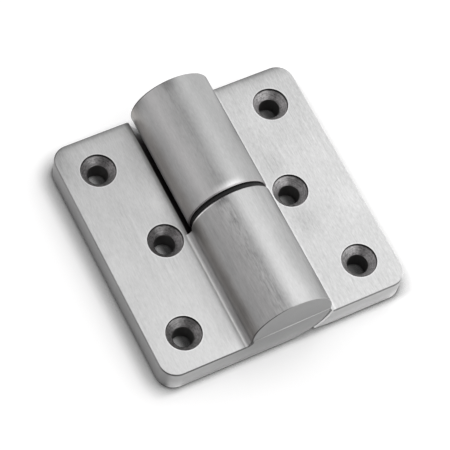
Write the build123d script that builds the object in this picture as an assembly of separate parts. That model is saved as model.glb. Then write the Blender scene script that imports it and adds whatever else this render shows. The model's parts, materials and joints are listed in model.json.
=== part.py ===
# Lift-off hinge in cast stainless steel, lying on its back with both leaves open flat.
# +X points from the fixed leaf to the lifting leaf, +Y runs along the pin towards the end
# that lifts off, and +Z comes out of the countersunk front faces.
# The back faces lie in z = 0, and the origin is under the pin, halfway along the leaves.
import os
from math import asin
from math import degrees
from math import radians
from math import sqrt
from math import tan

from build123d import *

# Leaves
overall_width = 70.0
leaf_length = 70.0
leaf_thickness = 8.0
corner_radius = 4.75
edge_break = 0.3

# Screw holes: the outer pair and the middle one, each set in from the leaf's outer edge
hole_pitch = 25.0
outer_hole_inset = 9.7
middle_hole_inset = 16.8
hole_diameter = 5.5
sink_diameter = 9.4
sink_angle = 90.0
sink_recess = 0.6

# Knuckles: each is cast on its own leaf, and its round touches the back plane
barrel_diameter = 22.4
fixed_knuckle_end = -0.1
lifting_overhang = 0.7
root_radius = 1.5
end_draft_angle = 1.0
parting_height = 10.5
parting_step = 0.15
parting_tilt = 3.0
cut_margin = 1.0

# Recess of each leaf beside the other leaf's knuckle, concentric with the pin
swing_clearance = 1.2
recess_relief = 0.6
recess_edge_radius = 0.3
tip_height = 1.6
tip_edge = 0.5
back_relief_width = 6.0

# Pin and thrust washer
pin_diameter = 12.0
pin_seat_depth = 22.0
pin_reach = 24.0
pin_end_chamfer = 1.2
press_interference = 0.01
running_clearance = 0.05
bore_end_clearance = 1.0
drill_point_angle = 118.0
bore_mouth_chamfer = 0.4
washer_thickness = 1.35
washer_play = 0.05
washer_setback = 0.6
washer_bore_clearance = 0.25
washer_edge_break = 0.2

# Values that follow from the sizes above
half_width = overall_width / 2
half_length = leaf_length / 2
barrel_radius = barrel_diameter / 2
pin_radius = pin_diameter / 2
recess_radius = barrel_radius + swing_clearance
lifting_knuckle_end = fixed_knuckle_end + washer_thickness + washer_play
axis_height = barrel_radius
axis_over_front = axis_height - leaf_thickness


def cross_section(y):
    # looks along +Y, with sketch x along X and sketch y along Z, and extrudes towards -Y
    return Plane(origin=(0, y, 0), x_dir=(1, 0, 0), z_dir=(0, -1, 0))


def knuckle_profile(y):
    # leaf and knuckle in one outline, tangent along the back and filleted at the root
    root_angle = 180 + degrees(asin(axis_over_front / barrel_radius))
    root = (-sqrt(barrel_radius**2 - axis_over_front**2), leaf_thickness)
    with BuildSketch(cross_section(y)) as sketch:
        with BuildLine():
            Line((-half_width, leaf_thickness), (-half_width, 0))
            Line((-half_width, 0), (0, 0))
            CenterArc((0, axis_height), barrel_radius, -90, root_angle + 90)
            Line(root, (-half_width, leaf_thickness))
        make_face()
        corner = sketch.vertices().sort_by_distance(cross_section(y).from_local_coords(root))[0]
        fillet(corner, root_radius)
    return sketch.sketch


def recess_profile(y):
    # leaf whose inner edge is hollowed round the other knuckle and runs under it to a blunt tip,
    # with the back relieved towards the tip
    front_angle = 180 + degrees(asin(axis_over_front / recess_radius))
    front_edge = (-sqrt(recess_radius**2 - axis_over_front**2), leaf_thickness)
    tip_drop = axis_height - tip_height
    tip_x = -sqrt(recess_radius**2 - tip_drop**2)
    tip_angle = 180 + degrees(asin(tip_drop / recess_radius))
    with BuildSketch(cross_section(y)) as sketch:
        with BuildLine():
            Line((-half_width, leaf_thickness), (-half_width, 0))
            Line((-half_width, 0), (tip_x - back_relief_width, 0))
            Line((tip_x - back_relief_width, 0), (tip_x, tip_height - tip_edge))
            Line((tip_x, tip_height - tip_edge), (tip_x, tip_height))
            CenterArc((0, axis_height), recess_radius, tip_angle, front_angle - tip_angle)
            Line(front_edge, (-half_width, leaf_thickness))
        make_face()
        corner = sketch.vertices().sort_by_distance(cross_section(y).from_local_coords(front_edge))[0]
        fillet(corner, recess_edge_radius)
    return sketch.sketch


def along_pin(radius, y_from, y_to):
    # a round bar on the pin's axis
    with BuildPart() as bar:
        with BuildSketch(cross_section(y_to)):
            with Locations((0, axis_height)):
                Circle(radius)
        extrude(amount=y_to - y_from)
    return bar.part


def blind_bore(radius, mouth_y, depth):
    # a drilled hole that runs from its mouth towards -Y, with a broken mouth and a drill point
    point = radius / tan(radians(drill_point_angle / 2))
    mouth_radius = radius + bore_mouth_chamfer
    with BuildPart() as bore:
        with BuildSketch(Plane.XY):
            with BuildLine():
                Polyline(
                    (0, 0),
                    (mouth_radius, 0),
                    (radius, -bore_mouth_chamfer),
                    (radius, -depth),
                    (0, -depth - point),
                    close=True,
                )
            make_face()
        revolve(axis=Axis.Y)
    return Pos(0, mouth_y, axis_height) * bore.part


def screw_hole():
    # through hole with a countersink that starts a little below the front face
    hole_radius = hole_diameter / 2
    sink_radius = sink_diameter / 2
    cone_top = leaf_thickness - sink_recess
    cone_foot = cone_top - (sink_radius - hole_radius) / tan(radians(sink_angle / 2))
    with BuildPart() as hole:
        with BuildSketch(Plane.XZ):
            with BuildLine():
                Polyline(
                    (0, 0),
                    (hole_radius, 0),
                    (hole_radius, cone_foot),
                    (sink_radius, cone_top),
                    (sink_radius, leaf_thickness),
                    (0, leaf_thickness),
                    close=True,
                )
            make_face()
        revolve(axis=Axis.Z)
    return hole.part


def draft_wedge(outer_end):
    # above the parting line the knuckle's end steps back a little and leans by the casting's
    # draft, and the line runs slightly uphill across the end
    rise = barrel_diameter + cut_margin - parting_height
    lean = (rise - parting_step) * tan(radians(end_draft_angle))
    with BuildPart() as wedge:
        with BuildSketch(Plane.YZ.offset(-barrel_radius)):
            with BuildLine():
                Polyline(
                    (outer_end, 0),
                    (outer_end + parting_step, parting_step),
                    (outer_end + parting_step + lean, rise),
                    (outer_end - cut_margin, rise),
                    (outer_end - cut_margin, 0),
                    close=True,
                )
            make_face()
        extrude(amount=barrel_diameter)
    return Pos(0, 0, parting_height) * Rot(0, -parting_tilt, 0) * wedge.part


def leaf_casting(knuckle_end, overhang, bore_radius, bore_depth):
    # one leaf with its knuckle, drawn with the leaf towards -X and the knuckle towards -Y
    recess_end = knuckle_end - recess_relief
    outer_end = -half_length - overhang

    casting = extrude(knuckle_profile(recess_end), amount=recess_end + half_length)
    casting += extrude(recess_profile(half_length), amount=half_length - recess_end)
    corners = casting.edges().filter_by(Axis.Z).group_by(Axis.X)[0]
    casting = fillet(corners, corner_radius)

    outer_faces = casting.faces().filter_by(Axis.Y).sort_by(Axis.Y)
    ends = outer_faces[0].edges() + outer_faces[-1].edges()
    sides = casting.faces().filter_by(Axis.X).sort_by(Axis.X)[0].edges().filter_by(Axis.Y)
    casting = chamfer(ends + sides, edge_break)

    knuckle = along_pin(barrel_radius, outer_end, knuckle_end)
    knuckle = chamfer(knuckle.edges(), edge_break)
    casting += knuckle
    casting -= draft_wedge(outer_end)
    casting -= blind_bore(bore_radius, knuckle_end, bore_depth)

    hole = screw_hole()
    for x, y in (
        (outer_hole_inset - half_width, -hole_pitch),
        (middle_hole_inset - half_width, 0),
        (outer_hole_inset - half_width, hole_pitch),
    ):
        casting -= Pos(x, y, 0) * hole
    return casting


def fixed_leaf():
    # its bore grips the pin
    return leaf_casting(fixed_knuckle_end, 0, pin_radius - press_interference, pin_seat_depth)


def lifting_leaf():
    # the same casting turned round, with a bore that runs freely on the pin
    reach = pin_reach - (lifting_knuckle_end - fixed_knuckle_end)
    turned = leaf_casting(
        -lifting_knuckle_end,
        lifting_overhang,
        pin_radius + running_clearance,
        reach + bore_end_clearance,
    )
    return Rot(0, 0, 180) * turned


def hinge_pin():
    pin = along_pin(pin_radius, fixed_knuckle_end - pin_seat_depth, fixed_knuckle_end + pin_reach)
    return chamfer(pin.edges(), pin_end_chamfer)


def thrust_washer():
    # lies on the fixed knuckle, set back a little from the knuckles' round
    top = fixed_knuckle_end + washer_thickness
    washer = along_pin(barrel_radius - washer_setback, fixed_knuckle_end, top)
    washer = chamfer(washer.edges(), washer_edge_break)
    return washer - along_pin(pin_radius + washer_bore_clearance, fixed_knuckle_end, top)


pieces = {
    "fixed_leaf": fixed_leaf(),
    "lifting_leaf": lifting_leaf(),
    "hinge_pin": hinge_pin(),
    "thrust_washer": thrust_washer(),
}

os.makedirs("parts", exist_ok=True)
for name, piece in pieces.items():
    export_step(piece, f"parts/{name}.step")
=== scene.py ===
# Lift-off hinge in satin stainless steel: finishes, floor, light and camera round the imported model
import json
import math

import bmesh
import bpy
from mathutils import Matrix, Vector


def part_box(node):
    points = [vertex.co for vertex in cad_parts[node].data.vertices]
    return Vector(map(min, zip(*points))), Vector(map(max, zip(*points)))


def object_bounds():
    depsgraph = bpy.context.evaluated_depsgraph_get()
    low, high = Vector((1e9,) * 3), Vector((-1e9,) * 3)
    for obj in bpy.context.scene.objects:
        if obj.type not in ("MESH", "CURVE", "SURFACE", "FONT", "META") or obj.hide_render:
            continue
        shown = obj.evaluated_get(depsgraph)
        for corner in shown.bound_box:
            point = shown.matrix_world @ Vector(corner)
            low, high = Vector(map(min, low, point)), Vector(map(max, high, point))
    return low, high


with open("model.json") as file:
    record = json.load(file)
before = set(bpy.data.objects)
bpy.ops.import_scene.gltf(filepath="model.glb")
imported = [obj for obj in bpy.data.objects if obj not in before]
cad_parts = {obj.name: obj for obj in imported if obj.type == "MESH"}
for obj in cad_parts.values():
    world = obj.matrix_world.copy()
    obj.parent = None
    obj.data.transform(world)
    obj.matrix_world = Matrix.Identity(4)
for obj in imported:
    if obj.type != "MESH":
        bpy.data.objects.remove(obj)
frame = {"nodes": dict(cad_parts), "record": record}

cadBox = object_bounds()
mm = 0.001
mounts = {mount["name"]: mount for mount in frame["record"]["mounts"]}
print("frame loaded:", sorted(frame["nodes"]))

# Node helpers


def feed(tree, socket, value):
    # a node's output is linked, and anything else is set
    if isinstance(value, bpy.types.NodeSocket):
        tree.links.new(value, socket)
    else:
        socket.default_value = value


def addNode(tree, kind, inputs=None, **settings):
    # inputs maps an input's name or number to what feeds it
    made = tree.nodes.new(kind)
    for name, value in settings.items():
        setattr(made, name, value)
    for name, value in (inputs or {}).items():
        feed(tree, made.inputs[name], value)
    return made


def maths(tree, operation, first, second=0.0, third=0.0, clamp=False):
    inputs = {0: first, 1: second, 2: third}
    return addNode(tree, "ShaderNodeMath", inputs, operation=operation, use_clamp=clamp).outputs[0]


def vectorMaths(tree, operation, first, second=(0, 0, 0)):
    made = addNode(tree, "ShaderNodeVectorMath", {0: first, 1: second}, operation=operation)
    return made.outputs["Value" if operation in ("LENGTH", "DISTANCE", "DOT_PRODUCT") else "Vector"]


def separate(tree, vector):
    return addNode(tree, "ShaderNodeSeparateXYZ", {0: vector}).outputs


def combine(tree, x=0.0, y=0.0, z=0.0):
    return addNode(tree, "ShaderNodeCombineXYZ", {0: x, 1: y, 2: z}).outputs[0]


def grey(tree, tone):
    return combine(tree, tone, tone, tone)


def noise(tree, position, look):
    return addNode(tree, "ShaderNodeTexNoise", {"Vector": position, **look}).outputs[0]


def stretch(tree, position, across, along):
    # makes what follows longer along Y
    return vectorMaths(tree, "DIVIDE", position, combine(tree, across, along, across))


def blendColors(tree, factor, first, second, mode="MIX"):
    inputs = {0: factor, 6: first, 7: second}
    return addNode(tree, "ShaderNodeMix", inputs, data_type="RGBA", blend_type=mode).outputs[2]


def ramp(tree, value, low, high, atLow=0.0, atHigh=1.0):
    # smooth step from atLow to atHigh; low may be the larger number
    inputs = {"Value": value, "From Min": low, "From Max": high, "To Min": atLow, "To Max": atHigh}
    return addNode(tree, "ShaderNodeMapRange", inputs, interpolation_type="SMOOTHSTEP").outputs["Result"]


def past(tree, value, line, fade):
    # 0 to 1 between the fade's two distances from the line
    return ramp(tree, value, line + fade[0], line + fade[1])


def within(tree, value, line, fade):
    # 1 to 0 between the fade's two distances from the line
    return ramp(tree, value, line + fade[0], line + fade[1], 1.0, 0.0)


def band(tree, value, centre, reach):
    # 1 at the centre, falling smoothly to 0 at the reach
    return ramp(tree, maths(tree, "ABSOLUTE", maths(tree, "SUBTRACT", value, centre)), 0.0, reach, 1.0, 0.0)


def times(tree, *values):
    product = values[0]
    for value in values[1:]:
        product = maths(tree, "MULTIPLY", product, value)
    return product


def addTo(tree, value, mask, amount):
    return maths(tree, "MULTIPLY_ADD", mask, amount, value)


def towards(tree, value, target, mask):
    # value where the mask is 0, target where it is 1
    return maths(tree, "MULTIPLY_ADD", maths(tree, "SUBTRACT", target, value), mask, value)


def opposite(tree, mask):
    return maths(tree, "SUBTRACT", 1.0, mask)


# Shared effects, each a shader node group; streaks, clouds, hatching, rings and chatter lie round 0
effects = {
    "brushedGrain": {
        "hair": {"Scale": 1.0, "Detail": 3.0, "Roughness": 0.65},
        "scratch": {"Scale": 0.31, "Detail": 2.0, "Roughness": 0.5},
        "patch": {"Scale": 1.0, "Detail": 2.0},
        "hairShare": 0.6,
        "patchStretch": 2.2,        # along Y
        "patchGain": (0.35, 0.68, 0.5, 1.8),
    },
    "handPolish": {
        "cloud": {"Scale": 1.0, "Detail": 3.0, "Roughness": 0.55, "Distortion": 0.4},
        "cloudStretch": 1.7,        # along Y
    },
    "scuff": {
        "broken": {"Scale": 0.6, "Detail": 3.0, "Roughness": 0.7},
        "threshold": 0.66,          # of the noise that becomes a mark
        "densityGain": -0.2,
        "softness": 0.1,
    },
    "turnedRings": {
        "wobble": {"Scale": 0.7, "Detail": 2.0},
        "ring": {"Scale": 2.0, "Detail": 2.0, "Roughness": 0.6},
        "chatter": {"Scale": 1.5, "Detail": 3.0, "Roughness": 0.6},
    },
}
middleNoise = 0.5                   # what a noise texture gives on average


def newGroup(name, inputs, outputs):
    tree = bpy.data.node_groups.new(name, "ShaderNodeTree")
    for label, value in inputs.items():
        kind = "NodeSocketVector" if isinstance(value, tuple) else "NodeSocketFloat"
        socket = tree.interface.new_socket(name=label, in_out="INPUT", socket_type=kind)
        socket.default_value = value
    for label in outputs:
        tree.interface.new_socket(name=label, in_out="OUTPUT", socket_type="NodeSocketFloat")
    return tree, tree.nodes.new("NodeGroupInput").outputs, tree.nodes.new("NodeGroupOutput").inputs


def buildBrushedGrain(look):
    # streaks along Y: fine hairlines, longer scratches, and patches where the belt bit harder
    tree, given, out = newGroup("brushedGrain", {
        "Position": (0, 0, 0), "Across": 0.22, "Along": 5.0, "Patch": 9.0,
    }, ["Streak"])
    stretched = stretch(tree, given["Position"], given["Across"], given["Along"])
    hair = noise(tree, stretched, look["hair"])
    scratch = noise(tree, stretched, look["scratch"])
    patchLength = maths(tree, "MULTIPLY", given["Patch"], look["patchStretch"])
    patch = noise(tree, stretch(tree, given["Position"], given["Patch"], patchLength), look["patch"])
    both = addTo(tree, maths(tree, "MULTIPLY", hair, look["hairShare"]), scratch, 1 - look["hairShare"])
    centred = maths(tree, "SUBTRACT", both, middleNoise)
    streak = maths(tree, "MULTIPLY", centred, ramp(tree, patch, *look["patchGain"]))
    tree.links.new(streak, out["Streak"])
    return tree


def buildHandPolish(look):
    # soft clouds where the hand polish went a little deeper
    tree, given, out = newGroup("handPolish", {"Position": (0, 0, 0), "Size": 6.0}, ["Cloud"])
    length = maths(tree, "MULTIPLY", given["Size"], look["cloudStretch"])
    cloud = noise(tree, stretch(tree, given["Position"], given["Size"], length), look["cloud"])
    tree.links.new(maths(tree, "SUBTRACT", cloud, middleNoise), out["Cloud"])
    return tree


def buildScuff(look):
    # short broken scratches along Y: single marks, and a hatching all over
    tree, given, out = newGroup("scuff", {
        "Position": (0, 0, 0), "Width": 0.3, "Length": 2.4, "Density": 0.5,
    }, ["Mark", "Hatch"])
    broken = noise(tree, stretch(tree, given["Position"], given["Width"], given["Length"]), look["broken"])
    threshold = addTo(tree, look["threshold"], given["Density"], look["densityGain"])
    mark = ramp(tree, broken, threshold, maths(tree, "ADD", threshold, look["softness"]))
    tree.links.new(mark, out["Mark"])
    tree.links.new(maths(tree, "SUBTRACT", broken, middleNoise), out["Hatch"])
    return tree


def buildTurnedRings(look):
    # rings left by the countersink, round the nearest of a leaf's three screw holes
    tree, given, out = newGroup("turnedRings", {
        "Position": (0, 0, 0), "Hole A": (0, 0, 0), "Hole B": (0, 0, 0), "Hole C": (0, 0, 0), "Pitch": 0.35,
    }, ["Radius", "Ring", "Chatter"])
    flat = vectorMaths(tree, "MULTIPLY", given["Position"], (1, 1, 0))
    radii = [vectorMaths(tree, "DISTANCE", flat, given[name]) for name in ("Hole A", "Hole B", "Hole C")]
    radius = maths(tree, "MINIMUM", maths(tree, "MINIMUM", radii[0], radii[1]), radii[2])
    wobble = noise(tree, given["Position"], look["wobble"])
    turned = maths(tree, "ADD", maths(tree, "DIVIDE", radius, given["Pitch"]), wobble)
    inputs = {"W": turned, **look["ring"]}
    ring = addNode(tree, "ShaderNodeTexNoise", inputs, noise_dimensions="1D").outputs[0]
    chatter = noise(tree, given["Position"], look["chatter"])
    tree.links.new(radius, out["Radius"])
    tree.links.new(maths(tree, "SUBTRACT", ring, middleNoise), out["Ring"])
    tree.links.new(maths(tree, "SUBTRACT", chatter, middleNoise), out["Chatter"])
    return tree


groups = {
    "brushedGrain": buildBrushedGrain(effects["brushedGrain"]),
    "handPolish": buildHandPolish(effects["handPolish"]),
    "scuff": buildScuff(effects["scuff"]),
    "turnedRings": buildTurnedRings(effects["turnedRings"]),
}
print("shader groups:", sorted(groups))


def useGroup(tree, name, inputs):
    return addNode(tree, "ShaderNodeGroup", inputs, node_tree=groups[name]).outputs


def newMaterial(name):
    made = bpy.data.materials.new(name)
    made.use_nodes = True
    tree = made.node_tree
    tree.nodes.clear()
    output = tree.nodes.new("ShaderNodeOutputMaterial")
    shader = tree.nodes.new("ShaderNodeBsdfPrincipled")
    tree.links.new(shader.outputs[0], output.inputs["Surface"])
    place = addNode(tree, "ShaderNodeTexCoord").outputs
    position = vectorMaths(tree, "DIVIDE", place["Object"], (mm, mm, mm))
    return made, tree, shader, position, place["Normal"]


def addBump(tree, shader, strength, depth, height):
    # depth in mm
    bump = addNode(tree, "ShaderNodeBump", {"Strength": strength, "Distance": depth * mm, "Height": height})
    tree.links.new(bump.outputs[0], shader.inputs["Normal"])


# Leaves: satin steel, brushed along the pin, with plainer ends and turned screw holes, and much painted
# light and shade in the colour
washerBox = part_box("thrust_washer")
leaf = {
    # shape, in mm
    "halfWidth": -cadBox[0].x / mm,
    "halfLength": -cadBox[0].y / mm,
    "thickness": 8.0,
    "barrelRadius": cadBox[1].z / mm / 2,
    "washerRadius": (washerBox[1].z - washerBox[0].z) / mm / 2,
    "holeRadius": mounts["fixed_leaf_outer_holes"]["dims"]["hole_r_mm"],
    "sinkRadius": 4.7,
    "sinkFoot": 5.4,
    "mouthFoot": 7.4,               # of the short straight wall over a countersink
    "rootEdge": 12.6,               # where the root fillet starts on the leaf's face
    "partingHeight": 10.5,
    "recessGap": 1.2,               # between a knuckle and the recess hollowed round it
    "recessRimGap": 1.35,

    # tones, many of them painted light and shade; in a ramp, the first two are where it starts and ends,
    # and the last two its values there
    "farShades": ((31.0, 34.7, 1.0, 0.8), (33.4, 34.7, 1.0, 0.65)),     # mm in Y; painted shade, the face darker at the far end
    "sideTone": 0.315,
    "knuckleEndTone": (3.0, 11.0, 0.42, 0.33),                          # mm up; painted light, the knuckle's end paler towards its foot
    "endFalls": ((-1.0, 5.5, 1.62, 0.91), (0.2, 1.8, 1.42, 1.0)),       # mm up; painted light, the ends paler towards their foot
    # painted light and shade on the chamfered edges, by the way that they face: a highlight on the right,
    # shade on the left, far and near edges
    "leftEdgeTone": 0.30,
    "rightEdgeTone": 0.80,
    "farEdgeTone": 0.06,
    "knuckleEdgeTone": (-9.0, 5.0, 0.13, 0.44),                         # mm in X; painted shade, the knuckle's end rim darker on the left
    # painted highlight along the parting line on the ends
    "creaseTone": 0.62,
    "openEndTone": 0.85,            # painted light where a recess runs out at the leaf's end
    "sinkShade": (-0.7, 0.0, 0.82, 1.0),                                # normal along X; painted shade, darker where a countersink faces -X
    "sinkColor": (0.33, 0.322, 0.324),
    # painted shade: the countersinks' mouths, the bores, and the recess and gap round the knuckles are dark
    "mouthColor": (0.055, 0.053, 0.053, 1),
    "boreColor": (0.12, 0.117, 0.116, 1),
    "slotColor": (0.19, 0.155, 0.165, 1),
    "rubbedTint": (1.03, 0.99, 0.955, 1),
    "rubbedBand": (172.0, 26.0),    # degrees round the pin, and reach

    # polish and wear, and a painted highlight round each countersink, as changes of tone unless noted
    "cloudGain": 0.28,
    "markGain": -0.04,
    "haloGain": 0.18,               # painted highlight round a countersink's rim
    "barrelFleck": 0.36,
    "plainFleck": 0.14,             # on ends and sides
    "hatchGain": 0.25,
    "smoothBand": (78, 32),         # degrees round the pin, and reach, where a knuckle is smoothest
    "smoothing": -0.6,              # of the grain there
    "ringGain": 1.9,
    "chatterGain": 2.0,
    "scuffLength": 1.8,             # mm
    "fleckSize": {"Width": 0.2, "Length": 0.9},
    "ringPitch": 0.8,               # mm
    "grainDepth": 0.0010,           # mm
    "ringDepth": 0.006,             # mm
    "hatchHeight": 0.6,

    # gloss
    "roughness": 0.36,
    "endRoughness": 0.5,
    "sinkRoughness": 0.36,
    "grainRoughness": 0.2,
    "cloudRoughness": 0.1,
    "hatchRoughness": -0.2,
    "openEndMetal": 0.4,
    "brushing": 0.6,
    "tangentNudge": (0.001, 0, 0),  # keeps the tangent defined on the ends
}

# how each mask of a leaf fades: mm past the line that it follows, or the normal's share along an axis
fades = {
    "endFace": (0.6, 0.85),
    "upright": (0.25, 0.6),
    "barrel": (0.1, 1.5),
    "besideBarrel": (0.4, 1.2),
    "front": (0.0, 1.0),
    "recessEnd": (-0.05, 0.05),
    "bevel": (0.707, 0.16),         # middle and reach
    "lifted": (0.1, 0.3),
    "outerSide": (-6.0, -5.0),
    "crease": 1.2,                  # reach
    "creaseSide": (-1.0, 0.0),
    "sinkWall": (0.02, 0.06),
    "sinkFoot": (-0.3, 0.0),
    "boreWall": (0.01, 0.12),
    "mouthFoot": (-0.2, 0.0),
    "halo": (0.18, 0.3),            # middle and reach
    "haloFace": (-0.1, -0.02),
    "face": (-0.2, -0.05),
    "recess": 0.35,                 # reach
    "recessRim": 0.5,               # reach
    "recessTop": (-0.25, -0.05),
    "slotEnd": (-6.0, -2.2),
    "openEnd": (-2.8, -1.4),
    "gapMiddle": (3.0, 4.0),
    "gapInside": (-0.25, 0.05),
    "gapOutside": (2.0, 2.5),
    "endRim": (-0.62, -0.48),
    "flank": (8.0, 26.0),
    "leftward": (-0.2, -0.6),
    "rightward": (0.2, 0.6),
    "farward": (0.2, 0.6),
    "gapEdge": (1.0, 2.0),
    "rootLines": (3.5, 5.0),
    "recessLines": (-0.4, -0.2),
}

# what differs between the two castings; hand is the leaf's side in X
# lines along the root and the recess, painted highlight and shade: mm from the root's edge, reach in mm,
# and change of tone
# bands round the knuckles, painted reflections and shade: degrees round the pin, where 0 is right and 90
# the top, reach, and change
# spots on the knuckles, painted highlights and shade with a dark smudge under the gap: degrees, reach, mm
# in Y, reach, and change; patches on the face, painted light and shade: mm in X, reach, mm in Y, reach, and
# change
castings = {
    "fixed_leaf": {
        "hand": -1,
        "gapFace": -0.1,            # mm in Y
        "recessEnd": -0.7,
        "knuckleEnd": -cadBox[0].y / mm,
        "leafTone": 0.485,
        "leafFall": (-30.0, 28.0, 0.99, 1.07),          # a ramp, mm in Y; painted light, the face paler towards the far end
        "barrelTone": 0.42,
        "nearTone": 0.49,
        "nearEdgeTone": 0.17,
        "gapEdgeTone": (100.0, 122.0, 0.35, 0.95),      # a ramp, degrees round the pin; painted highlight and shade on the knuckles' chamfers at the gap
        "sinkGain": 1.1,
        "barrelRoughness": 0.39,
        "leafGrain": 0.33,
        "barrelGrain": 0.6,
        "leafFleck": 0.38,
        "scuffBand": (112, 18),
        "scuffDepth": 1.1,
        "rootLines": (
            (1.7, 1.3, 0.10), (0.4, 0.4, -0.20), (-0.1, 0.38, 0.50), (-0.8, 0.5, -0.24), (-1.6, 0.7, 0.16),
        ),
        "recessLines": ((-0.3, 1.2, -0.42),),
        "bands": (
            (180, 28, -0.27), (172, 11, -0.10), (158, 12, -0.10), (144, 12, -0.12),
            (107, 9, -0.07), (94, 14, 0.12), (72, 14, 0.05), (24, 16, -0.36),
        ),
        "spots": (
            (181, 11, -1.5, 4, -0.35), (150, 40, -0.5, 0.35, 1.5), (114, 14, -0.9, 1.8, -0.40),
            (78, 18, -31, 5, 0.06), (50, 14, -34, 3.5, -0.15), (22, 16, -34, 7, 0.40),
        ),
        "patches": ((-34, 6, 36, 18, -0.35), (-15, 4, 12, 10, 0.20), (-15, 4, -35, 7, 0.18)),
    },
    "lifting_leaf": {
        "hand": 1,
        "gapFace": 1.3,
        "recessEnd": 1.9,
        "knuckleEnd": cadBox[1].y / mm,
        "leafTone": 0.475,
        "leafFall": (-30.0, 28.0, 0.90, 1.13),
        "barrelTone": 0.40,
        "nearTone": 0.57,
        "nearEdgeTone": 0.26,
        "gapEdgeTone": (100.0, 122.0, 0.75, 0.40),
        "sinkGain": 1.5,
        "barrelRoughness": 0.42,
        "leafGrain": 0.42,
        "barrelGrain": 0.25,
        "leafFleck": 0.62,
        "scuffBand": (107, 14),
        "scuffDepth": 0.3,
        "rootLines": ((0.55, 0.6, 0.25),),
        "recessLines": ((0.55, 0.6, 0.25),),
        "bands": (
            (166, 20, -0.11), (129, 20, 0.37), (111, 7, 0.07), (104, 10, -0.09),
            (80, 18, 0.06), (28, 10, -0.28), (20, 15, -0.44),
        ),
        "spots": ((96, 32, 1.5, 2.3, 0.95), (155, 20, 36.5, 6, -0.45), (100, 18, 36.5, 6.5, -0.38)),
        "patches": (
            (18, 5, -9, 7, -0.14), (18, 5, 9, 6, -0.10), (18, 5, 24, 7, 0.07),
            (27, 10, 37, 6, -0.20), (32, 6, -8, 8, 0.08),
        ),
    },
}


def holeCentres(side):
    # in mm, from the near hole to the far one
    outer = mounts[side + "_outer_holes"]
    middle = mounts[side + "_middle_hole"]
    reach = outer["dims"]["spacing_y_mm"] / 2
    x, y = (value / mm for value in outer["pos_m"][:2])
    middleX, middleY = (value / mm for value in middle["pos_m"][:2])
    return [(x, y - reach, 0), (middleX, middleY, 0), (x, y + reach, 0)]


def measureLeaf(tree, position, normal, own):
    # where a point of a casting lies, in mm or degrees round the pin, and which way it faces
    place = separate(tree, position)
    facing = separate(tree, normal)
    overAxis = maths(tree, "SUBTRACT", place["Z"], leaf["barrelRadius"])
    turn = maths(tree, "ARCTAN2", maths(tree, "MULTIPLY", place["X"], -1.0), overAxis)
    return {
        "x": place["X"],
        "y": place["Y"],
        "z": place["Z"],
        "reachX": maths(tree, "ABSOLUTE", place["X"]),
        "reachY": maths(tree, "ABSOLUTE", place["Y"]),
        "handX": maths(tree, "MULTIPLY", place["X"], own["hand"]),
        "handY": maths(tree, "MULTIPLY", place["Y"], own["hand"]),
        "fromAxis": vectorMaths(tree, "LENGTH", combine(tree, place["X"], overAxis)),
        "fromGap": maths(tree, "ABSOLUTE", maths(tree, "SUBTRACT", place["Y"], own["gapFace"])),
        "angle": maths(tree, "ADD", maths(tree, "DEGREES", turn), 90.0),
        "normalX": facing["X"],
        "normalY": facing["Y"],
        "endward": maths(tree, "ABSOLUTE", facing["Y"]),
        "upward": maths(tree, "ABSOLUTE", facing["Z"]),
    }


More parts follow.
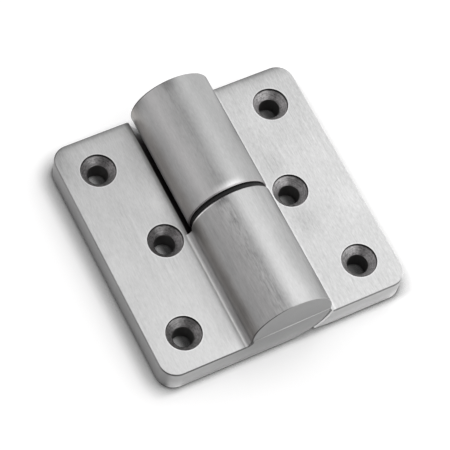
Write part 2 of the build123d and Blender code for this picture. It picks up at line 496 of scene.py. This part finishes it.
def maskLeaf(tree, at, radius, own):
    # where each finish and each painted light or shade lies; radius is the distance from the nearest hole's
    # middle
    barrel, face = leaf["barrelRadius"], leaf["thickness"]
    endFace = ramp(tree, at["endward"], *fades["endFace"])
    onBarrel = within(tree, at["fromAxis"], barrel, fades["barrel"])
    besideBarrel = past(tree, at["reachX"], barrel, fades["besideBarrel"])
    upright = times(tree, ramp(tree, at["upward"], *fades["upright"], 1.0, 0.0), besideBarrel)
    plain = maths(tree, "MAXIMUM", endFace, upright)
    exposed = opposite(tree, plain)
    recessSide = within(tree, at["handY"], own["hand"] * own["recessEnd"], fades["recessEnd"])
    rootSide = opposite(tree, recessSide)
    onFront = times(tree, exposed, ramp(tree, at["handX"], *fades["front"]))

    bevelled = band(tree, at["upward"], *fades["bevel"])
    lifted = maths(tree, "MAXIMUM", ramp(tree, at["upward"], *fades["lifted"]), onBarrel)
    endBevel = times(tree, band(tree, at["endward"], *fades["bevel"]), lifted)
    sideBevel = times(tree, bevelled, past(tree, at["reachX"], leaf["halfWidth"], fades["outerSide"]))
    edge = maths(tree, "MAXIMUM", endBevel, sideBevel)
    crease = times(tree, edge, bevelled, band(tree, at["z"], leaf["partingHeight"], fades["crease"]),
                   within(tree, at["reachX"], barrel, fades["creaseSide"]))

    inSink = times(tree, within(tree, radius, leaf["sinkRadius"], fades["sinkWall"]),
                   past(tree, at["z"], leaf["sinkFoot"], fades["sinkFoot"]))
    haloMiddle, haloReach = fades["halo"]
    halo = times(tree, band(tree, radius, leaf["sinkRadius"] + haloMiddle, haloReach),
                 past(tree, at["z"], face, fades["haloFace"]))

    recessWall = band(tree, at["fromAxis"], barrel + leaf["recessGap"], fades["recess"])
    recessRim = band(tree, at["fromAxis"], barrel + leaf["recessRimGap"], fades["recessRim"])
    inRecess = times(tree, recessWall, recessSide, opposite(tree, endFace),
                     within(tree, at["z"], face, fades["recessTop"]))
    inGap = times(tree, endFace, ramp(tree, at["reachY"], *fades["gapMiddle"], 1.0, 0.0),
                  past(tree, at["fromAxis"], leaf["washerRadius"], fades["gapInside"]),
                  within(tree, at["fromAxis"], barrel, fades["gapOutside"]))
    slot = times(tree, inRecess, within(tree, at["reachY"], leaf["halfLength"], fades["slotEnd"]))
    return {
        "endFace": endFace,
        "barrel": onBarrel,
        "upright": upright,
        "plain": plain,
        "exposed": exposed,
        "lengthwise": times(tree, onBarrel, exposed),
        "recessSide": recessSide,
        "face": times(tree, besideBarrel, past(tree, at["z"], face, fades["face"])),
        "edge": edge,
        "crease": crease,
        "sink": inSink,
        "bore": within(tree, radius, leaf["holeRadius"], fades["boreWall"]),
        "mouth": times(tree, inSink, past(tree, at["z"], leaf["mouthFoot"], fades["mouthFoot"])),
        "halo": halo,
        "slot": maths(tree, "MAXIMUM", slot, inGap),
        "openEnd": times(tree, inRecess, past(tree, at["reachY"], leaf["halfLength"], fades["openEnd"])),
        "recessRim": times(tree, recessRim, recessSide),
        "endRim": times(tree, onBarrel, exposed, rootSide,
                        past(tree, at["reachY"], own["knuckleEnd"], fades["endRim"])),
        "gapEdge": times(tree, ramp(tree, at["fromGap"], *fades["gapEdge"], 1.0, 0.0), onBarrel),
        "rootLines": times(tree, rootSide, onFront, within(tree, at["z"], face, fades["rootLines"])),
        "recessLines": times(tree, recessSide, onFront, past(tree, at["z"], face, fades["recessLines"])),
    }


def toneLeaf(tree, at, on, own):
    # the metal's tone with its painted light and shade, before polish and wear
    # painted light and shade along the face: paler towards the far end, darker right at it
    faceTone = times(tree, ramp(tree, at["y"], *own["leafFall"]), own["leafTone"])
    for shade in leaf["farShades"]:
        faceTone = times(tree, faceTone, ramp(tree, at["y"], *shade))
    tone = towards(tree, faceTone, own["barrelTone"], on["barrel"])
    tone = towards(tree, tone, leaf["sideTone"], on["upright"])

    flank = maths(tree, "MAXIMUM", ramp(tree, at["reachX"], *fades["flank"]), on["recessSide"])
    # painted light: the ends are paler towards their foot
    endTone = towards(tree, ramp(tree, at["z"], *leaf["knuckleEndTone"]), own["nearTone"], flank)
    for fall in leaf["endFalls"]:
        endTone = times(tree, endTone, ramp(tree, at["z"], *fall))
    tone = towards(tree, tone, endTone, on["endFace"])

    knuckleEdgeTone = ramp(tree, at["x"], *leaf["knuckleEdgeTone"])
    # painted highlight and shade on the chamfers, by the way that they face
    edgeLightAndShade = own["nearEdgeTone"]
    for target, mask in (
        (leaf["leftEdgeTone"], ramp(tree, at["normalX"], *fades["leftward"])),
        (leaf["rightEdgeTone"], ramp(tree, at["normalX"], *fades["rightward"])),
        (leaf["farEdgeTone"], ramp(tree, at["normalY"], *fades["farward"])),
        (knuckleEdgeTone, on["barrel"]),
        (leaf["openEndTone"], on["recessRim"]),
        (ramp(tree, at["angle"], *own["gapEdgeTone"]), on["gapEdge"]),
        (leaf["creaseTone"], on["crease"]),
    ):
        edgeLightAndShade = towards(tree, edgeLightAndShade, target, mask)
    tone = towards(tree, tone, knuckleEdgeTone, on["endRim"])
    tone = towards(tree, tone, edgeLightAndShade, on["edge"])
    # painted light where a recess opens at the leaf's end
    return towards(tree, tone, leaf["openEndTone"], on["openEnd"])


def wearLeaf(tree, at, on, own, position):
    # how polish, wear and painted highlights, reflections and shade change the tone, and the textures that
    # also change gloss or height
    grain = useGroup(tree, "brushedGrain", {"Position": position})["Streak"]
    cloud = useGroup(tree, "handPolish", {"Position": position})["Cloud"]
    mark, hatch = useGroup(tree, "scuff", {"Position": position, "Length": leaf["scuffLength"]})
    fleck = useGroup(tree, "scuff", {"Position": position, **leaf["fleckSize"]})["Hatch"]

    smooth = times(tree, band(tree, at["angle"], *leaf["smoothBand"]), on["lengthwise"])
    grainGain = towards(tree, own["leafGrain"], own["barrelGrain"], on["barrel"])
    brushed = times(tree, grain, on["exposed"], grainGain, addTo(tree, 1.0, smooth, leaf["smoothing"]))
    scuffed = times(tree, band(tree, at["angle"], *own["scuffBand"]), on["lengthwise"])
    hatched = times(tree, hatch, addTo(tree, leaf["hatchGain"], scuffed, own["scuffDepth"]), on["exposed"])
    fleckGain = towards(tree, own["leafFleck"], leaf["barrelFleck"], on["barrel"])
    fleckGain = towards(tree, fleckGain, leaf["plainFleck"], on["plain"])

    change = maths(tree, "ADD", brushed, 1.0)
    change = maths(tree, "ADD", change, hatched)
    change = addTo(tree, change, cloud, leaf["cloudGain"])
    change = addTo(tree, change, fleck, fleckGain)
    change = addTo(tree, change, times(tree, mark, on["exposed"]), leaf["markGain"])
    # painted highlight round each countersink's rim
    change = addTo(tree, change, on["halo"], leaf["haloGain"])
    # painted light and shade: lines along the root and recess, bands round the knuckles, spots, and patches
    # on the face
    fromRoot = maths(tree, "SUBTRACT", at["reachX"], leaf["rootEdge"])
    for name in ("rootLines", "recessLines"):
        for centre, reach, amount in own[name]:
            line = times(tree, band(tree, fromRoot, centre, reach), on[name])
            change = addTo(tree, change, line, amount)
    for centre, reach, amount in own["bands"]:
        stripe = times(tree, band(tree, at["angle"], centre, reach), on["lengthwise"])
        change = addTo(tree, change, stripe, amount)
    for angle, reach, y, length, amount in own["spots"]:
        spot = times(tree, band(tree, at["angle"], angle, reach), band(tree, at["y"], y, length))
        change = addTo(tree, change, times(tree, spot, on["lengthwise"]), amount)
    for x, width, y, length, amount in own["patches"]:
        patch = times(tree, band(tree, at["x"], x, width), band(tree, at["y"], y, length))
        change = addTo(tree, change, times(tree, patch, on["face"]), amount)
    return change, brushed, hatched, cloud


def brushingTangent(tree, normal, inSink):
    # along Y on the faces, and round the hole in a countersink
    lengthwise = vectorMaths(tree, "CROSS_PRODUCT", normal, (0, 1, 0))
    lengthwise = vectorMaths(tree, "ADD", lengthwise, leaf["tangentNudge"])
    turned = vectorMaths(tree, "NORMALIZE", vectorMaths(tree, "CROSS_PRODUCT", normal, (0, 0, 1)))
    radial = vectorMaths(tree, "CROSS_PRODUCT", normal, turned)
    return addNode(tree, "ShaderNodeVectorTransform", {
        "Vector": blendColors(tree, inSink, lengthwise, radial),
    }, vector_type="VECTOR", convert_from="OBJECT", convert_to="WORLD").outputs[0]


def satinSteel(side):
    made, tree, shader, position, normal = newMaterial("satinSteel_" + side)
    own = castings[side]
    holes = holeCentres(side)
    rings = useGroup(tree, "turnedRings", {
        "Position": position, "Hole A": holes[0], "Hole B": holes[1], "Hole C": holes[2],
        "Pitch": leaf["ringPitch"],
    })
    at = measureLeaf(tree, position, normal, own)
    on = maskLeaf(tree, at, rings["Radius"], own)
    change, brushed, hatched, cloud = wearLeaf(tree, at, on, own, position)

    color = grey(tree, maths(tree, "MULTIPLY", toneLeaf(tree, at, on, own), change))
    rubbed = times(tree, band(tree, at["angle"], *leaf["rubbedBand"]), on["lengthwise"])
    color = blendColors(tree, rubbed, color, leaf["rubbedTint"], "MULTIPLY")
    turned = addTo(tree, 1.0, rings["Ring"], leaf["ringGain"])
    turned = addTo(tree, turned, rings["Chatter"], leaf["chatterGain"])
    # painted shade on the countersinks' walls that face -X
    turned = times(tree, turned, own["sinkGain"], ramp(tree, at["normalX"], *leaf["sinkShade"]))
    sinkColor = vectorMaths(tree, "MULTIPLY", leaf["sinkColor"], grey(tree, turned))
    color = blendColors(tree, on["sink"], color, sinkColor)
    # painted shade in the mouths, the bores, the recess and the gap
    for name in ("mouth", "bore", "slot"):
        color = blendColors(tree, on[name], color, leaf[name + "Color"])
    tree.links.new(color, shader.inputs["Base Color"])

    rough = towards(tree, leaf["roughness"], own["barrelRoughness"], on["barrel"])
    rough = towards(tree, rough, leaf["endRoughness"], on["plain"])
    rough = towards(tree, rough, leaf["sinkRoughness"], on["sink"])
    rough = addTo(tree, rough, brushed, leaf["grainRoughness"])
    rough = addTo(tree, rough, cloud, leaf["cloudRoughness"])
    rough = addTo(tree, rough, hatched, leaf["hatchRoughness"])
    tree.links.new(rough, shader.inputs["Roughness"])
    tree.links.new(towards(tree, 1.0, leaf["openEndMetal"], on["openEnd"]), shader.inputs["Metallic"])
    tree.links.new(brushingTangent(tree, normal, on["sink"]), shader.inputs["Tangent"])
    shader.inputs["Anisotropic"].default_value = leaf["brushing"]

    ringHeight = times(tree, rings["Ring"], on["sink"], leaf["ringDepth"] / leaf["grainDepth"])
    height = addTo(tree, ringHeight, brushed, opposite(tree, on["sink"]))
    height = addTo(tree, height, hatched, leaf["hatchHeight"])
    addBump(tree, shader, 1.0, leaf["grainDepth"], height)
    return made


# Pin: ground round, with fine rings along its length and a few marks from sliding in the bore
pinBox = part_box("hinge_pin")
pin = {
    "radius": (pinBox[1].x - pinBox[0].x) / mm / 2,
    "tone": 0.55,
    "roughness": 0.2,
    "rings": {"Across": 0.09, "Along": 14.0, "Patch": 5.0},
    "ringGain": 0.25,
    "ringDepth": 0.0006,            # mm
    "cloudSize": 3.0,
    "cloudGain": 0.10,
    "cloudRoughness": 0.16,
    "marks": {"Width": 0.25, "Length": 6.0, "Density": 0.2},
    "markGain": -0.12,
    "markRoughness": 0.12,
}


def groundPin():
    made, tree, shader, position, _ = newMaterial("groundPin")
    place = separate(tree, position)
    overAxis = maths(tree, "SUBTRACT", place["Z"], leaf["barrelRadius"])
    roundAxis = maths(tree, "MULTIPLY", maths(tree, "ARCTAN2", overAxis, place["X"]), pin["radius"])
    rolled = combine(tree, place["Y"], roundAxis)
    ring = useGroup(tree, "brushedGrain", {"Position": rolled, **pin["rings"]})["Streak"]
    cloud = useGroup(tree, "handPolish", {"Position": position, "Size": pin["cloudSize"]})["Cloud"]
    mark = useGroup(tree, "scuff", {"Position": position, **pin["marks"]})["Mark"]
    tone = addTo(tree, pin["tone"], ring, pin["ringGain"])
    tone = addTo(tree, tone, cloud, pin["cloudGain"])
    tone = addTo(tree, tone, mark, pin["markGain"])
    tree.links.new(grey(tree, tone), shader.inputs["Base Color"])
    rough = addTo(tree, pin["roughness"], mark, pin["markRoughness"])
    rough = addTo(tree, rough, cloud, pin["cloudRoughness"])
    tree.links.new(rough, shader.inputs["Roughness"])
    shader.inputs["Metallic"].default_value = 1.0
    addBump(tree, shader, 1.0, pin["ringDepth"], ring)
    return made


# Washer: dull black nylon, rubbed a little paler on its faces, with painted shade on its far side
washer = {
    "tone": 0.016,
    "rubbedTone": 0.03,
    "rubbedFacing": (0.7, 0.95),    # normal along Y
    "rubbedCloud": (-0.1, 0.15),
    "oiledTone": (0.6, 0.95, 1.0, 0.3),                                 # mm in Y; painted shade, darker on the far side next to the upper knuckle
    "cloudSize": 1.6,
    "marks": {"Width": 0.5, "Length": 0.5, "Density": 0.4},
    "markGain": 0.006,
    "roughness": 0.62,
    "rubbedRoughness": -0.15,
    "cloudRoughness": 0.3,
    "specular": 0.22,
    "bumpStrength": 0.6,
    "bumpDepth": 0.01,              # mm
}


def blackNylon():
    made, tree, shader, position, normal = newMaterial("blackNylon")
    endward = maths(tree, "ABSOLUTE", separate(tree, normal)["Y"])
    cloud = useGroup(tree, "handPolish", {"Position": position, "Size": washer["cloudSize"]})["Cloud"]
    mark = useGroup(tree, "scuff", {"Position": position, **washer["marks"]})["Mark"]
    onFace = ramp(tree, endward, *washer["rubbedFacing"])
    rubbed = times(tree, onFace, ramp(tree, cloud, *washer["rubbedCloud"]))
    tone = towards(tree, washer["tone"], washer["rubbedTone"], rubbed)
    tone = addTo(tree, tone, mark, washer["markGain"])
    # painted shade: darker on the far side
    tone = times(tree, tone, ramp(tree, separate(tree, position)["Y"], *washer["oiledTone"]))
    tree.links.new(grey(tree, tone), shader.inputs["Base Color"])
    rough = addTo(tree, washer["roughness"], rubbed, washer["rubbedRoughness"])
    rough = addTo(tree, rough, cloud, washer["cloudRoughness"])
    tree.links.new(rough, shader.inputs["Roughness"])
    shader.inputs["Specular IOR Level"].default_value = washer["specular"]
    addBump(tree, shader, washer["bumpStrength"], washer["bumpDepth"], cloud)
    return made


def dress(node, material):
    slots = frame["nodes"][node].data.materials
    slots.clear()
    slots.append(material)


dress("fixed_leaf", satinSteel("fixed_leaf"))
dress("lifting_leaf", satinSteel("lifting_leaf"))
dress("hinge_pin", groundPin())
dress("thrust_washer", blackNylon())
print("nodes dressed")

# Floor, with a painted contact shadow and painted light under the holes; the first of a pair of tones or
# depths is for the floor past the object's near side, which is lit
floor = {
    "radius": 3.0,                  # m
    "segments": 96,
    "drop": 0.00002,                # m under the object
    "tone": 0.88,
    "glow": 0.3,
    "samples": 4,
    "contactReach": 0.005,          # m
    "contactFade": (0.2, 0.4),      # share of open sky over which the painted contact shadow starts
    "clearFade": (0.4, 0.95),       # and over which it ends
    # painted contact shadow: the floor's tone beside the object
    "contactTone": (0.88, 0.2),
    "contactDepth": (-0.5, 0.45),   # how much the whole painted contact shadow deepens
    "nearFade": (-2.0, 0.0),        # mm in Y from the near side
    "lineReach": 0.0007,            # m
    "lineDepth": (0.3, 1.1),        # of the painted fine dark shadow line at the foot
    "nearLineFade": (-0.7, 0.0),
    # painted light on the floor under a leaf's holes, from the near one to the far one
    "holeLight": {"fixed_leaf": (1.7, 1.8, 1.7), "lifting_leaf": (0.65, 1.3, 0.75)},
    "holeDark": 0.12,
    "holeFall": (-1.2, 1.4),        # mm along X over which it fades to dark
    "holeRim": (0.0, 0.45),         # mm past the hole's wall
    "holeFade": (0.38, 0.5),        # share of open sky
}


def openSky(tree, reach):
    # 1 on open floor, and less close to the object
    made = addNode(tree, "ShaderNodeAmbientOcclusion", {"Distance": reach}, samples=floor["samples"])
    return made.outputs["AO"]


def lightThroughHoles(tree, spot, x):
    # where the holes are, and the painted light and shade on the floor there
    underHoles, holeLight = 0.0, 0.0
    for side, strengths in floor["holeLight"].items():
        for centre, strength in zip(holeCentres(side), strengths):
            fromCentre = vectorMaths(tree, "DISTANCE", spot, centre)
            under = within(tree, fromCentre, leaf["holeRadius"], floor["holeRim"])
            across = maths(tree, "SUBTRACT", x, centre[0])
            lit = ramp(tree, across, *floor["holeFall"], strength, floor["holeDark"])
            underHoles = maths(tree, "ADD", underHoles, under)
            holeLight = addTo(tree, holeLight, under, lit)
    return underHoles, holeLight


def paleFloor():
    material = bpy.data.materials.new("paleFloor")
    material.use_nodes = True
    tree = material.node_tree
    tree.nodes.clear()
    output = tree.nodes.new("ShaderNodeOutputMaterial")
    spot = vectorMaths(tree, "DIVIDE", addNode(tree, "ShaderNodeTexCoord").outputs["Object"], (mm, mm, mm))
    place = separate(tree, spot)
    nearSide = cadBox[0].y / mm

    def bySide(name, fade):
        low, high = floor[fade]
        return ramp(tree, place["Y"], nearSide + low, nearSide + high, *floor[name])

    # painted contact shadow beside the object, from the open sky
    contact = openSky(tree, floor["contactReach"])
    clear = ramp(tree, contact, *floor["clearFade"])
    beside = times(tree, ramp(tree, contact, *floor["contactFade"]), opposite(tree, clear))
    tone = times(tree, floor["tone"], towards(tree, 1.0, bySide("contactTone", "nearFade"), beside))

    # painted light on the floor under the holes
    underHoles, holeLight = lightThroughHoles(tree, spot, place["X"])
    inHole = times(tree, ramp(tree, contact, *floor["holeFade"], 1.0, 0.0), underHoles)
    tone = times(tree, tone, towards(tree, 1.0, holeLight, inHole))

    # the painted shadow deepens with the open sky, and a painted dark line runs along the foot
    depth = times(tree, bySide("contactDepth", "nearFade"), opposite(tree, underHoles))
    pressed = addTo(tree, 1.0, maths(tree, "SUBTRACT", contact, 1.0), depth)
    shaded = maths(tree, "SUBTRACT", openSky(tree, floor["lineReach"]), 1.0)
    line = maths(tree, "MULTIPLY_ADD", shaded, bySide("lineDepth", "nearLineFade"), 1.0, clamp=True)
    tone = times(tree, tone, pressed, line)
    diffuse = addNode(tree, "ShaderNodeBsdfDiffuse", {"Color": grey(tree, tone)})

    rays = addNode(tree, "ShaderNodeLightPath").outputs
    seen = maths(tree, "ADD", rays["Is Camera Ray"], rays["Is Glossy Ray"])
    seen = maths(tree, "ADD", seen, rays["Is Transmission Ray"], clamp=True)
    strength = times(tree, seen, floor["glow"], clear, pressed)
    glow = addNode(tree, "ShaderNodeEmission", {"Strength": strength})
    both = addNode(tree, "ShaderNodeAddShader", {0: diffuse.outputs[0], 1: glow.outputs[0]})
    tree.links.new(both.outputs[0], output.inputs["Surface"])
    return material


def buildFloor():
    mesh = bpy.data.meshes.new("floor")
    made = bpy.data.objects.new("floor", mesh)
    bpy.context.scene.collection.objects.link(made)
    form = bmesh.new()
    bmesh.ops.create_circle(form, cap_ends=True, segments=floor["segments"], radius=floor["radius"])
    form.to_mesh(mesh)
    form.free()
    made.location.z = cadBox[0].z - floor["drop"]
    mesh.materials.append(paleFloor())


buildFloor()
print("floor laid")

light = {
    "skyTone": 1.0,                 # of the sky's pale grey, and how it changes along X, Y and Z
    "skySlope": (0.32, 0.02, -0.29),
    "skyTint": (1.0, 0.975, 0.98, 1),
    "tintFade": (-0.9, 0.1),        # from left to right
    "shadeDirection": (-0.70, -0.62, 0.35),
    "shadeFade": (0.55, 1.0),
    "shadeTone": -0.45,
    "lobeDirection": (-0.517, 0.482, 0.707),
    "lobeFade": (0.8, 1.0),
    "lobeTone": 0.2,
    "boxAzimuth": 98,
    "boxElevation": 62,
    "boxDistance": 0.5,             # m
    "boxSize": 0.325,               # m
    "boxRadiance": 1.5,
}


def directionTo(azimuth, elevation):
    azimuth, elevation = math.radians(azimuth), math.radians(elevation)
    return Vector((
        math.sin(azimuth) * math.cos(elevation),
        -math.cos(azimuth) * math.cos(elevation),
        math.sin(elevation),
    ))


def buildSky():
    world = bpy.data.worlds.new("studio")
    world.use_nodes = True
    tree = world.node_tree
    direction = addNode(tree, "ShaderNodeTexCoord").outputs["Generated"]
    slope = vectorMaths(tree, "DOT_PRODUCT", direction, light["skySlope"])
    tone = maths(tree, "ADD", slope, light["skyTone"])
    for name in ("shade", "lobe"):
        aligned = vectorMaths(tree, "DOT_PRODUCT", direction, light[name + "Direction"])
        tone = addTo(tree, tone, ramp(tree, aligned, *light[name + "Fade"]), light[name + "Tone"])
    rightward = ramp(tree, separate(tree, direction)["X"], *light["tintFade"])
    tint = blendColors(tree, rightward, light["skyTint"], (1, 1, 1, 1))
    color = vectorMaths(tree, "MULTIPLY", tint, grey(tree, tone))
    tree.links.new(color, tree.nodes["Background"].inputs["Color"])
    bpy.context.scene.world = world


def buildSoftbox():
    lamp = bpy.data.lights.new("softbox", "AREA")
    lamp.shape = "SQUARE"
    lamp.size = light["boxSize"]
    lamp.energy = light["boxRadiance"] * math.pi * light["boxSize"] ** 2
    made = bpy.data.objects.new("softbox", lamp)
    made.location = directionTo(light["boxAzimuth"], light["boxElevation"]) * light["boxDistance"]
    made.rotation_mode = "QUATERNION"
    made.rotation_quaternion = made.location.to_track_quat("Z", "Y")
    bpy.context.scene.collection.objects.link(made)


buildSky()
buildSoftbox()
print("lights set")

# A long lens over the near left corner
camera = {
    "azimuth": -40.794,
    "elevation": 62.553,
    "roll": 15.564,                 # degrees
    "distance": 569.474,            # mm
    "target": (-1.093, -0.946, 5.0),                                    # mm
    "lens": 176.15,
    "sensor": 36,
    "clipStart": 0.01,              # m
}


def buildCamera():
    back = directionTo(camera["azimuth"], camera["elevation"])
    azimuth, roll = math.radians(camera["azimuth"]), math.radians(camera["roll"])
    level = Vector((math.cos(azimuth), math.sin(azimuth), 0))
    above = back.cross(level)
    right = level * math.cos(roll) + above * math.sin(roll)
    up = above * math.cos(roll) - level * math.sin(roll)
    lens = bpy.data.cameras.new("camera")
    lens.lens = camera["lens"]
    lens.sensor_width = camera["sensor"]
    lens.clip_start = camera["clipStart"]
    made = bpy.data.objects.new("camera", lens)
    turn = Matrix((right, up, back)).transposed().to_4x4()
    place = (Vector(camera["target"]) + back * camera["distance"]) * mm
    made.matrix_world = Matrix.Translation(place) @ turn
    bpy.context.scene.collection.objects.link(made)
    bpy.context.scene.camera = made


buildCamera()
bpy.context.scene.view_settings.view_transform = "Standard"
print("camera placed")
